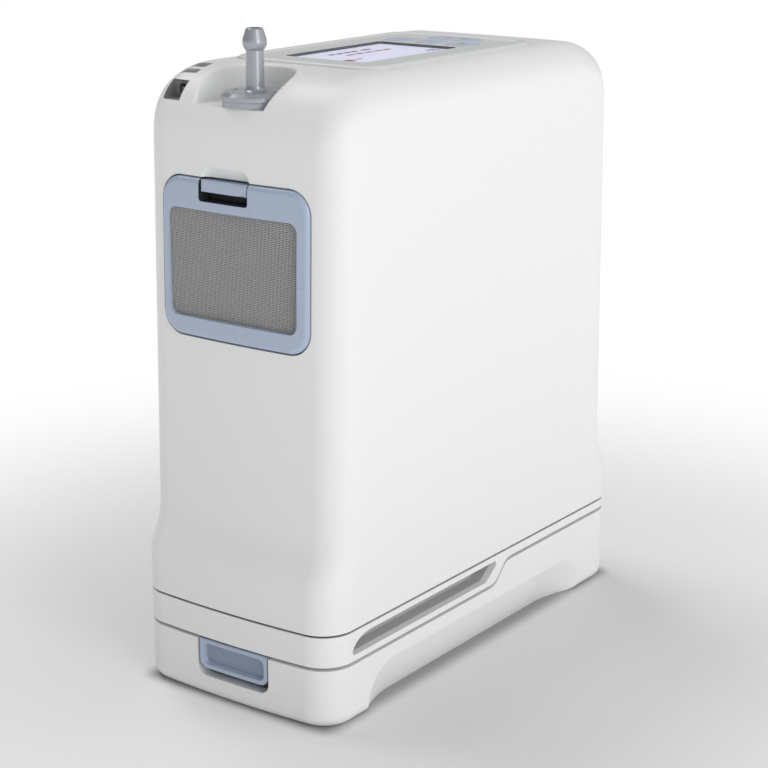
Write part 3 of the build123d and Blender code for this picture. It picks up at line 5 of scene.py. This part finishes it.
import bmesh
import bpy
import numpy as np
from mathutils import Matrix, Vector


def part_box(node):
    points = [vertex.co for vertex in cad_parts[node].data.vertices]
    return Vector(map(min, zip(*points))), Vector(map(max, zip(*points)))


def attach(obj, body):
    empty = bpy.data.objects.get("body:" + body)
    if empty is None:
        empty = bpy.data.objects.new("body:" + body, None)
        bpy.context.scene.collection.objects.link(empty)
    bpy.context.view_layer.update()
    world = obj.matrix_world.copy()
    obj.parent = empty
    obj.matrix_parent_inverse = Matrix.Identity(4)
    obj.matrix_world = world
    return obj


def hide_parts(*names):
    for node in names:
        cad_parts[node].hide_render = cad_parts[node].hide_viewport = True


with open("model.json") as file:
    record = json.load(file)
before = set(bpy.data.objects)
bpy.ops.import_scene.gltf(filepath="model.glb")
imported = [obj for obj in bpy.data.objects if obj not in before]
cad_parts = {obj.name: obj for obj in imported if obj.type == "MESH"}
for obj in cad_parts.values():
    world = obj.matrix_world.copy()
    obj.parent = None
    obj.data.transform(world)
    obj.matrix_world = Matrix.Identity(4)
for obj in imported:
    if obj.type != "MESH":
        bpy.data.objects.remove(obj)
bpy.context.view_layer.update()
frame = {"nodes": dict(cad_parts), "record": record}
nodes = frame["nodes"]
MM = 0.001


def srgb(red, green, blue):
    """Linear colour from 0-255 display values."""
    values = []
    for part in (red, green, blue):
        share = part / 255
        values.append(share / 12.92 if share <= 0.04045 else ((share + 0.055) / 1.055) ** 2.4)
    return (*values, 1.0)


# ------------------------------------------------------------------ shared node groups
def new_group(name, inputs, outputs):
    group = bpy.data.node_groups.new(name, "ShaderNodeTree")
    for label, kind, default in inputs:
        socket = group.interface.new_socket(label, in_out="INPUT", socket_type=kind)
        if default is not None:
            socket.default_value = default
    for label, kind in outputs:
        group.interface.new_socket(label, in_out="OUTPUT", socket_type=kind)
    return group, group.nodes.new("NodeGroupInput"), group.nodes.new("NodeGroupOutput")


def link(tree, out_node, out_name, in_node, in_name):
    tree.links.new(out_node.outputs[out_name], in_node.inputs[in_name])


def make_moulded():
    """Moulded plastic: slight tone drift, uneven gloss and a fine grain."""
    group, given, result = new_group(
        "moulded_surface",
        [
            ("Color", "NodeSocketColor", (0.8, 0.8, 0.8, 1)),
            ("Tone Drift", "NodeSocketFloat", 0.02),
            ("Roughness", "NodeSocketFloat", 0.4),
            ("Gloss Drift", "NodeSocketFloat", 0.05),
            ("Grain Scale", "NodeSocketFloat", 2500.0),
            ("Grain Strength", "NodeSocketFloat", 0.04),
        ],
        [("Color", "NodeSocketColor"), ("Roughness", "NodeSocketFloat"), ("Normal", "NodeSocketVector")],
    )
    place = group.nodes.new("ShaderNodeTexCoord")
    cloud = group.nodes.new("ShaderNodeTexNoise")
    cloud.inputs["Scale"].default_value = 28.0
    cloud.inputs["Detail"].default_value = 3.0
    link(group, place, "Object", cloud, "Vector")
    centred = group.nodes.new("ShaderNodeMath")
    centred.operation = "SUBTRACT"
    centred.inputs[1].default_value = 0.5
    link(group, cloud, "Fac", centred, 0)
    tone = group.nodes.new("ShaderNodeMath")
    tone.operation = "MULTIPLY_ADD"
    tone.inputs[2].default_value = 1.0
    link(group, centred, "Value", tone, 0)
    link(group, given, "Tone Drift", tone, 1)
    shade = group.nodes.new("ShaderNodeHueSaturation")
    link(group, given, "Color", shade, "Color")
    link(group, tone, "Value", shade, "Value")
    gloss = group.nodes.new("ShaderNodeMath")
    gloss.operation = "MULTIPLY_ADD"
    link(group, centred, "Value", gloss, 0)
    link(group, given, "Gloss Drift", gloss, 1)
    link(group, given, "Roughness", gloss, 2)
    grain = group.nodes.new("ShaderNodeTexNoise")
    grain.inputs["Detail"].default_value = 2.0
    link(group, place, "Object", grain, "Vector")
    link(group, given, "Grain Scale", grain, "Scale")
    bump = group.nodes.new("ShaderNodeBump")
    bump.inputs["Distance"].default_value = 0.00008
    link(group, given, "Grain Strength", bump, "Strength")
    link(group, grain, "Fac", bump, "Height")
    link(group, shade, "Color", result, "Color")
    link(group, gloss, "Value", result, "Roughness")
    link(group, bump, "Normal", result, "Normal")
    return group


def make_brushed():
    """Brushed or turned metal: streaks along one direction."""
    group, given, result = new_group(
        "brushed_surface",
        [
            ("Color", "NodeSocketColor", (0.6, 0.6, 0.6, 1)),
            ("Roughness", "NodeSocketFloat", 0.3),
            ("Stretch", "NodeSocketVector", (400.0, 6000.0, 6000.0)),
        ],
        [("Color", "NodeSocketColor"), ("Roughness", "NodeSocketFloat"), ("Normal", "NodeSocketVector")],
    )
    place = group.nodes.new("ShaderNodeTexCoord")
    scaled = group.nodes.new("ShaderNodeVectorMath")
    scaled.operation = "MULTIPLY"
    link(group, place, "Object", scaled, 0)
    link(group, given, "Stretch", scaled, 1)
    streak = group.nodes.new("ShaderNodeTexNoise")
    streak.inputs["Scale"].default_value = 1.0
    streak.inputs["Detail"].default_value = 3.0
    link(group, scaled, "Vector", streak, "Vector")
    gloss = group.nodes.new("ShaderNodeMath")
    gloss.operation = "MULTIPLY_ADD"
    gloss.inputs[1].default_value = 0.16
    link(group, streak, "Fac", gloss, 0)
    link(group, given, "Roughness", gloss, 2)
    tone = group.nodes.new("ShaderNodeMapRange")
    tone.inputs["To Min"].default_value = 0.88
    tone.inputs["To Max"].default_value = 1.06
    link(group, streak, "Fac", tone, "Value")
    shade = group.nodes.new("ShaderNodeHueSaturation")
    link(group, given, "Color", shade, "Color")
    link(group, tone, "Result", shade, "Value")
    bump = group.nodes.new("ShaderNodeBump")
    bump.inputs["Strength"].default_value = 0.12
    bump.inputs["Distance"].default_value = 0.00004
    link(group, streak, "Fac", bump, "Height")
    link(group, shade, "Color", result, "Color")
    link(group, gloss, "Value", result, "Roughness")
    link(group, bump, "Normal", result, "Normal")
    return group


def make_cellular():
    """Foam, felt or pressed fibre: small dark cells between lighter walls."""
    group, given, result = new_group(
        "cellular_surface",
        [
            ("Color", "NodeSocketColor", (0.2, 0.2, 0.2, 1)),
            ("Cell Color", "NodeSocketColor", (0.02, 0.02, 0.02, 1)),
            ("Cell Scale", "NodeSocketFloat", 1400.0),
            ("Depth", "NodeSocketFloat", 0.6),
        ],
        [("Color", "NodeSocketColor"), ("Normal", "NodeSocketVector")],
    )
    place = group.nodes.new("ShaderNodeTexCoord")
    cells = group.nodes.new("ShaderNodeTexVoronoi")
    cells.inputs["Randomness"].default_value = 0.9
    link(group, place, "Object", cells, "Vector")
    link(group, given, "Cell Scale", cells, "Scale")
    edge = group.nodes.new("ShaderNodeMapRange")
    edge.inputs["From Min"].default_value = 0.15
    edge.inputs["From Max"].default_value = 0.6
    link(group, cells, "Distance", edge, "Value")
    blend = group.nodes.new("ShaderNodeMix")
    blend.data_type = "RGBA"
    group.links.new(edge.outputs["Result"], blend.inputs[0])
    group.links.new(given.outputs["Cell Color"], blend.inputs[6])
    group.links.new(given.outputs["Color"], blend.inputs[7])
    bump = group.nodes.new("ShaderNodeBump")
    bump.inputs["Distance"].default_value = 0.0002
    link(group, given, "Depth", bump, "Strength")
    link(group, edge, "Result", bump, "Height")
    group.links.new(blend.outputs[2], result.inputs["Color"])
    link(group, bump, "Normal", result, "Normal")
    return group


MOULDED = make_moulded()
BRUSHED = make_brushed()
CELLULAR = make_cellular()


# ------------------------------------------------------------------ materials
def new_material(name, group, values, outputs=("Color", "Roughness", "Normal"), **constants):
    """A principled material whose colour, roughness and normal come from a shared group."""
    material = bpy.data.materials.new(name)
    material.use_nodes = True
    tree = material.node_tree
    shader = tree.nodes["Principled BSDF"]
    source = tree.nodes.new("ShaderNodeGroup")
    source.node_tree = group
    for label, value in values.items():
        source.inputs[label].default_value = value
    targets = {"Color": "Base Color", "Roughness": "Roughness", "Normal": "Normal"}
    for output in outputs:
        link(tree, source, output, shader, targets[output])
    for label, value in constants.items():
        shader.inputs[label.replace("_", " ")].default_value = value
    return material


def plastic(name, color, roughness=0.42, drift=0.03, grain=0.05, scale=2500.0, **constants):
    return new_material(
        name,
        MOULDED,
        {
            "Color": color,
            "Tone Drift": drift,
            "Roughness": roughness,
            "Gloss Drift": 0.08,
            "Grain Scale": scale,
            "Grain Strength": grain,
        },
        **constants,
    )


def metal(name, color, roughness, stretch=(400.0, 6000.0, 6000.0)):
    values = {"Color": color, "Roughness": roughness, "Stretch": stretch}
    return new_material(name, BRUSHED, values, Metallic=1.0)


def cellular(name, color, cell_color, scale, depth, roughness=0.9):
    values = {"Color": color, "Cell Color": cell_color, "Cell Scale": scale, "Depth": depth}
    return new_material(name, CELLULAR, values, outputs=("Color", "Normal"), Roughness=roughness)


def circuit_board(name):
    """Green solder mask with a faint net of copper tracks under it."""
    material = plastic(name, srgb(24, 96, 58), roughness=0.35, scale=900.0)
    tree = material.node_tree
    shader = tree.nodes["Principled BSDF"]
    place = tree.nodes.new("ShaderNodeTexCoord")
    tracks = tree.nodes.new("ShaderNodeTexBrick")
    tracks.inputs["Scale"].default_value = 240.0
    tracks.inputs["Mortar Size"].default_value = 0.035
    tracks.inputs["Color1"].default_value = srgb(20, 88, 52)
    tracks.inputs["Color2"].default_value = srgb(26, 102, 60)
    tracks.inputs["Mortar"].default_value = srgb(60, 140, 84)
    link(tree, place, "Object", tracks, "Vector")
    link(tree, tracks, "Color", shader, "Base Color")
    return material


WHITE = srgb(238, 239, 238)
looks = {
    "housing_white": plastic("housing_white", WHITE, roughness=0.46, drift=0.012, grain=0.05),
    "panel_grey": plastic("panel_grey", srgb(224, 226, 226), roughness=0.42, drift=0.012),
    "filter_blue": plastic(
        "filter_blue", srgb(172, 186, 208), roughness=0.27, drift=0.015, grain=0.03, Coat_Weight=0.3
    ),
    "nozzle_grey": plastic(
        "nozzle_grey", srgb(168, 170, 179), roughness=0.25, drift=0.02, grain=0.02, Metallic=0.35
    ),
    "mesh_grey": plastic("mesh_grey", srgb(205, 205, 204), roughness=0.35, drift=0.08, scale=5000.0),
    "foam_dark": cellular("foam_dark", srgb(32, 32, 34), srgb(8, 8, 9), 1500.0, 0.7),
    "duct_grey": plastic("duct_grey", srgb(186, 187, 187), roughness=0.6, drift=0.05, grain=0.12),
    "gasket_grey": plastic("gasket_grey", srgb(58, 59, 60), roughness=0.75, drift=0.06, grain=0.1),
    "rubber_black": plastic("rubber_black", srgb(34, 34, 36), roughness=0.7, drift=0.2, grain=0.2),
    "key_blue": plastic("key_blue", srgb(196, 207, 222), roughness=0.5, drift=0.02, grain=0.1),
    "window_clear": plastic("window_clear", srgb(236, 238, 246), roughness=0.06, drift=0.01, grain=0.0),
    "display_face": plastic("display_face", srgb(226, 228, 246), roughness=0.3, drift=0.02, scale=6000.0),
    "board_green": circuit_board("board_green"),
    "cell_blue": plastic("cell_blue", srgb(58, 92, 140), roughness=0.22, drift=0.12, scale=700.0),
    "contact_brass": metal("contact_brass", srgb(214, 178, 92), 0.22),
    "black_plastic": plastic("black_plastic", srgb(40, 40, 42), roughness=0.45, drift=0.15),
    "steel": metal("steel", srgb(176, 177, 180), 0.24),
    "aluminium": metal("aluminium", srgb(200, 201, 204), 0.3, (900.0, 5000.0, 5000.0)),
    "filter_disc": cellular("filter_disc", srgb(232, 231, 226), srgb(190, 188, 182), 3200.0, 0.35),
    "tray_dark": plastic("tray_dark", srgb(150, 151, 152), roughness=0.55, drift=0.05, grain=0.1),
}
window = looks["window_clear"].node_tree.nodes["Principled BSDF"]
window.inputs["Alpha"].default_value = 0.1
lit = looks["display_face"].node_tree.nodes["Principled BSDF"]
lit.inputs["Emission Color"].default_value = srgb(228, 230, 250)
lit.inputs["Emission Strength"].default_value = 0.35

slots = {row["node"]: row["material_slot"] for row in frame["record"]["subparts"]}
for name, node in nodes.items():
    node.data.materials.clear()
    node.data.materials.append(looks[slots[name]])


# ------------------------------------------------------------------ pieces
def new_piece(name, verts, faces, material, body, smooth=False):
    mesh = bpy.data.meshes.new(name)
    mesh.from_pydata([tuple(v) for v in verts], [], [tuple(f) for f in faces])
    mesh.validate()
    mesh.polygons.foreach_set("use_smooth", [smooth] * len(mesh.polygons))
    mesh.materials.append(looks[material])
    piece = bpy.data.objects.new(name, mesh)
    bpy.context.scene.collection.objects.link(piece)
    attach(piece, body)
    return piece


def shade_inside(node, material, low, high):
    """Gives the faces of a CAD node whose middles lie in a box, in millimetres, another material, used to
    paint shade on the inner faces of recesses.
    """
    mesh = nodes[node].data
    mesh.materials.append(looks[material])
    index = len(mesh.materials) - 1
    for face in mesh.polygons:
        if all(low[k] * MM <= face.center[k] <= high[k] * MM for k in range(3)):
            face.material_index = index


# darker looks that paint shade on inner faces: the filter notches, the screen recess walls, the ports,
# the DC jack, the service cover and the latch's dish
looks["painted_shade_dark"] = plastic("painted_shade_dark", srgb(46, 48, 54), roughness=0.6, drift=0.1, grain=0.15)
looks["painted_shade_grey"] = plastic("painted_shade_grey", srgb(128, 129, 130), roughness=0.6, drift=0.1, grain=0.15)
looks["painted_shade_pale"] = plastic("painted_shade_pale", srgb(188, 189, 190), roughness=0.6, drift=0.06, grain=0.15)
looks["painted_shade_blue"] = plastic("painted_shade_blue", srgb(140, 152, 174), roughness=0.3, drift=0.03, grain=0.05)
# node, look, and the lowest and highest corners of the box that holds the faces, in millimetres
INSIDES = (
    ("front_filter_frame", "painted_shade_dark", (-69.2, -5.0, 138.2), (-63.0, 12.0, 150.0)),
    ("rear_filter_frame", "painted_shade_dark", (63.0, -12.0, 138.2), (69.2, 5.0, 150.0)),
    ("control_panel", "painted_shade_dark", (-31.1, -13.8, 170.5), (13.1, 13.8, 172.35)),
    ("upper_housing", "painted_shade_grey", (-68.0, 21.1, 163.3), (-60.1, 27.7, 168.3)),
    ("upper_housing", "painted_shade_pale", (-58.2, 21.5, 168.8), (-55.8, 27.3, 171.6)),
    ("upper_housing", "painted_shade_pale", (-54.6, 21.6, 169.9), (-51.0, 27.2, 171.9)),
    ("service_cover", "painted_shade_pale", (-60.0, 20.0, 160.0), (-50.0, 30.0, 175.0)),
    ("dc_jack", "painted_shade_grey", (-70.0, 20.0, 160.0), (-50.0, 30.0, 175.0)),
    ("battery_latch", "painted_shade_blue", (-73.5, -20.0, 6.0), (-72.0, 20.0, 20.0)),
)
for inside in INSIDES:
    shade_inside(*inside)

# woven filter mesh, front and rear
PITCH = 0.46 * MM
WIRE_R = 0.105 * MM
SWING = 0.11 * MM
STEPS = 6


def woven_sheet(low, high):
    """Plain weave of round wires over the y-z rectangle from low to high, centred in x."""
    middle_x = (low.x + high.x) / 2
    verts, faces = [], []
    offsets = [(1, 0), (0, 1), (-1, 0), (0, -1)]
    spans = ((low.y, high.y, low.z, high.z, False), (low.z, high.z, low.y, high.y, True))
    for start, end, first, last, upright in spans:
        rows = int((last - first - 2 * WIRE_R) / PITCH)
        margin = (last - first - rows * PITCH) / 2
        step = 2 * PITCH / STEPS
        count = int((end - start) / step)
        along = start + step * np.arange(count + 1)
        cross = int((end - start - 2 * WIRE_R) / PITCH)
        phase = (end - start - cross * PITCH) / 2
        for row in range(rows + 1):
            side = first + margin + row * PITCH
            sign = 1 if (row % 2 == 0) != upright else -1
            wave = sign * SWING * np.cos(math.pi * (along - start - phase) / PITCH)
            base = len(verts)
            for place, lift in zip(along, wave):
                for a, b in offsets:
                    x = middle_x + lift + a * WIRE_R
                    across = side + b * WIRE_R
                    verts.append((x, across, place) if upright else (x, place, across))
            for ring in range(count):
                at = base + 4 * ring
                for k in range(4):
                    n = (k + 1) % 4
                    faces.append((at + k, at + n, at + 4 + n, at + 4 + k))
    return verts, faces


for end in ("front", "rear"):
    low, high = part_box(f"{end}_filter_mesh")
    verts, faces = woven_sheet(low, high)
    weave = new_piece(f"{end}_mesh_weave", verts, faces, "mesh_grey", f"{end}_filter", smooth=True)
    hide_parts(f"{end}_filter_mesh")


# thin printed marks on the screen and the keys
INK = 0.02 * MM


def plate(outline, low, thickness):
    """Closed flat plate over an outline of (x, y) points, in metres."""
    count = len(outline)
    verts = [(x, y, low) for x, y in outline] + [(x, y, low + thickness) for x, y in outline]
    faces = [list(range(count))[::-1], list(range(count, 2 * count))]
    faces += [(k, (k + 1) % count, count + (k + 1) % count, count + k) for k in range(count)]
    return verts, faces


def rounded(x, y, wide, tall, radius):
    points = []
    for quarter, (sx, sy) in enumerate(((1, 1), (-1, 1), (-1, -1), (1, -1))):
        for k in range(5):
            angle = math.radians(90 * quarter + 22.5 * k)
            points.append(
                (
                    x + sx * (wide / 2 - radius) + radius * math.cos(angle),
                    y + sy * (tall / 2 - radius) + radius * math.sin(angle),
                )
            )
    return points


def joined(parts):
    verts, faces = [], []
    for some_verts, some_faces in parts:
        base = len(verts)
        verts += some_verts
        faces += [[base + k for k in face] for face in some_faces]
    return verts, faces


def ink(name, color):
    looks[name] = plastic(name, color, roughness=0.5, drift=0.05)


def printed(name, bars, low, material, body):
    """Flat printed bars, each (x, y, wide, tall) in millimetres."""
    parts = []
    for x, y, wide, tall in bars:
        radius = 0.3 * min(wide, tall)
        outline = rounded(x * MM, y * MM, wide * MM, tall * MM, radius * MM)
        parts.append(plate(outline, low, INK))
    piece = new_piece(name, *joined(parts), material, body)
    return piece


ink("ink_dark", srgb(96, 96, 116))
ink("ink_red", srgb(186, 110, 118))
ink("ink_grey", srgb(150, 168, 196))
screen_low, screen_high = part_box("display_window")
face_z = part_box("display_module")[1].z + INK
screen_x = (screen_low.x + screen_high.x) / 2 / MM
dark_bars = [(screen_x + x, 7.2, 2.6, 1.5) for x in (-9.0, -5.6, -2.2, 1.2)]
dark_bars += [(screen_x + 6.5, 7.2, 4.2, 1.5)]
red_bars = [(screen_x + x, 3.0, 3.4, 1.4) for x in (-6.0, -1.8, 2.4, 6.6, 10.8)]
red_bars += [(screen_x - 16.4, -4.6, 3.2, 3.2), (screen_x - 12.0, -4.4, 3.0, 0.8)]
grey_bars = [(screen_x + 15.0 + 1.9 * k, -8.2, 1.2, 1.4 + 1.1 * k) for k in range(3)]
printed("screen_bars_dark", dark_bars, face_z, "ink_dark", "device")
printed("screen_bars_red", red_bars, face_z, "ink_red", "device")
printed("screen_bars_grey", grey_bars, face_z, "ink_grey", "device")


def key_middle(node):
    low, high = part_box(node)
    return (low.x + high.x) / 2 / MM, (low.y + high.y) / 2 / MM, high.z


for node, bars in (
    ("key_alert", [(0, 0.5, 0.5, 2.6), (0, -1.6, 0.6, 0.6)]),
    ("key_minus", [(0, 0, 0.5, 3.0)]),
    ("key_plus", [(0, 0, 0.5, 3.0), (0, 0, 3.0, 0.5)]),
    ("key_power", [(0, 2.6, 0.5, 2.6), (0, -2.8, 0.5, 3.0), (1.4, -2.8, 0.5, 3.0)]),
):
    x, y, top = key_middle(node)
    moved = [(x + bar[0], y + bar[1], bar[2], bar[3]) for bar in bars]
    printed(f"{node}_mark", moved, top, "ink_grey", node)

# ------------------------------------------------------------------ floor, light and camera
FLOOR_HALF = 6.0
FLOOR_GAP = 0.05 * MM
floor_mesh = bpy.data.meshes.new("floor")
shape = bmesh.new()
bmesh.ops.create_grid(shape, x_segments=1, y_segments=1, size=FLOOR_HALF)
shape.to_mesh(floor_mesh)
shape.free()
floor = bpy.data.objects.new("floor", floor_mesh)
floor.location = (0, 0, -FLOOR_GAP)
bpy.context.scene.collection.objects.link(floor)

floor_look = bpy.data.materials.new("floor_with_painted_shadow")
floor_look.use_nodes = True
tree = floor_look.node_tree
shader = tree.nodes["Principled BSDF"]
shader.inputs["Roughness"].default_value = 0.7
shader.inputs["Specular IOR Level"].default_value = 0.1
glow = tree.nodes.new("ShaderNodeEmission")
glow.inputs["Color"].default_value = (1, 1, 1, 1)
place = tree.nodes.new("ShaderNodeTexCoord")


def away_from(middle, half):
    """Distance on the floor from a rectangle, given by its middle and half sizes."""
    moved = tree.nodes.new("ShaderNodeVectorMath")
    moved.operation = "SUBTRACT"
    moved.inputs[1].default_value = (*middle, 0)
    link(tree, place, "Object", moved, 0)
    folded = tree.nodes.new("ShaderNodeVectorMath")
    folded.operation = "ABSOLUTE"
    link(tree, moved, "Vector", folded, 0)
    outside = tree.nodes.new("ShaderNodeVectorMath")
    outside.operation = "SUBTRACT"
    outside.inputs[1].default_value = (*half, 0)
    link(tree, folded, "Vector", outside, 0)
    clipped = tree.nodes.new("ShaderNodeVectorMath")
    clipped.operation = "MAXIMUM"
    clipped.inputs[1].default_value = (0, 0, 0)
    link(tree, outside, "Vector", clipped, 0)
    distance = tree.nodes.new("ShaderNodeVectorMath")
    distance.operation = "LENGTH"
    link(tree, clipped, "Vector", distance, 0)
    return distance


def falloff(distance, start, end, low, high):
    ramp = tree.nodes.new("ShaderNodeMapRange")
    ramp.interpolation_type = "SMOOTHERSTEP"
    ramp.inputs["From Min"].default_value = start
    ramp.inputs["From Max"].default_value = end
    ramp.inputs["To Min"].default_value = low
    ramp.inputs["To Max"].default_value = high
    link(tree, distance, "Value", ramp, "Value")
    return ramp


# painted shadow on the floor: a thin dark line round the footprint and a soft dark pool on the near side;
# white far away
painted_contact_shadow = falloff(away_from((0, 0), (0.07, 0.029)), 0.0, 0.008, 0.4, 0.93)
shade = falloff(away_from((0.01, -0.03), (0.05, 0.02)), 0.0, 0.04, 0.92, 1.0)
tone = tree.nodes.new("ShaderNodeMath")
tone.operation = "MULTIPLY"
link(tree, painted_contact_shadow, "Result", tone, 0)
link(tree, shade, "Result", tone, 1)
link(tree, tone, "Value", shader, "Base Color")
fade = falloff(away_from((0, 0), (0.02, 0.01)), 0.03, 0.3, 0.0, 1.0)
mixed = tree.nodes.new("ShaderNodeMixShader")
link(tree, fade, "Result", mixed, "Fac")
tree.links.new(shader.outputs["BSDF"], mixed.inputs[1])
tree.links.new(glow.outputs["Emission"], mixed.inputs[2])
link(tree, mixed, "Shader", tree.nodes["Material Output"], "Surface")
floor_mesh.materials.append(floor_look)

world = bpy.data.worlds.new("studio")
bpy.context.scene.world = world
world.use_nodes = True
tree = world.node_tree
tree.nodes.clear()
place = tree.nodes.new("ShaderNodeTexCoord")
axes = tree.nodes.new("ShaderNodeSeparateXYZ")
link(tree, place, "Generated", axes, "Vector")


def curve_of(axis, start, end, low, high):
    ramp = tree.nodes.new("ShaderNodeMapRange")
    ramp.interpolation_type = "SMOOTHSTEP"
    ramp.inputs["From Min"].default_value = start
    ramp.inputs["From Max"].default_value = end
    ramp.inputs["To Min"].default_value = low
    ramp.inputs["To Max"].default_value = high
    link(tree, axes, axis, ramp, "Value")
    return ramp


# more light on the near long side, a little less from above than from below
side_light = curve_of("Y", 0.3, -1.0, 0.0, 0.72)
base_light = curve_of("Z", -0.2, 1.0, 0.34, 0.31)
total = tree.nodes.new("ShaderNodeMath")
link(tree, side_light, "Result", total, 0)
link(tree, base_light, "Result", total, 1)
light = tree.nodes.new("ShaderNodeBackground")
link(tree, total, "Value", light, "Strength")
backdrop = tree.nodes.new("ShaderNodeBackground")
backdrop.inputs["Strength"].default_value = 1.0
backdrop.inputs["Color"].default_value = (1, 1, 1, 1)
rays = tree.nodes.new("ShaderNodeLightPath")
choice = tree.nodes.new("ShaderNodeMixShader")
link(tree, rays, "Is Camera Ray", choice, "Fac")
tree.links.new(light.outputs["Background"], choice.inputs[1])
tree.links.new(backdrop.outputs["Background"], choice.inputs[2])
output = tree.nodes.new("ShaderNodeOutputWorld")
link(tree, choice, "Shader", output, "Surface")


def softbox(name, spot, aim, size, power):
    data = bpy.data.lights.new(name, "AREA")
    data.shape = "RECTANGLE"
    data.size, data.size_y = size
    data.energy = power
    lamp = bpy.data.objects.new(name, data)
    lamp.location = spot
    lamp.rotation_euler = (Vector(aim) - Vector(spot)).to_track_quat("-Z", "Y").to_euler()
    bpy.context.scene.collection.objects.link(lamp)
    return lamp


softbox("side_softbox", (-0.42, -1.3, 0.45), (0, 0, 0.09), (0.7, 1.0), 5.2)
softbox("top_softbox", (0.1, 0.7, 1.3), (0, 0, 0.05), (0.7, 0.7), 6.6)

LENS = 91.65
SENSOR = 36.0
camera_data = bpy.data.cameras.new("camera")
camera_data.lens = LENS
camera_data.sensor_width = SENSOR
camera_data.clip_start = 0.01
camera = bpy.data.objects.new("camera", camera_data)
eye = Vector((-0.4476, -0.3242, 0.2345))
aim = Vector((-0.00359, 0.0, 0.07528))
camera.location = eye
camera.rotation_euler = (aim - eye).to_track_quat("-Z", "Y").to_euler()
bpy.context.scene.collection.objects.link(camera)
bpy.context.scene.camera = camera
bpy.context.scene.view_settings.view_transform = "Standard"
bpy.context.scene.view_settings.look = "None"
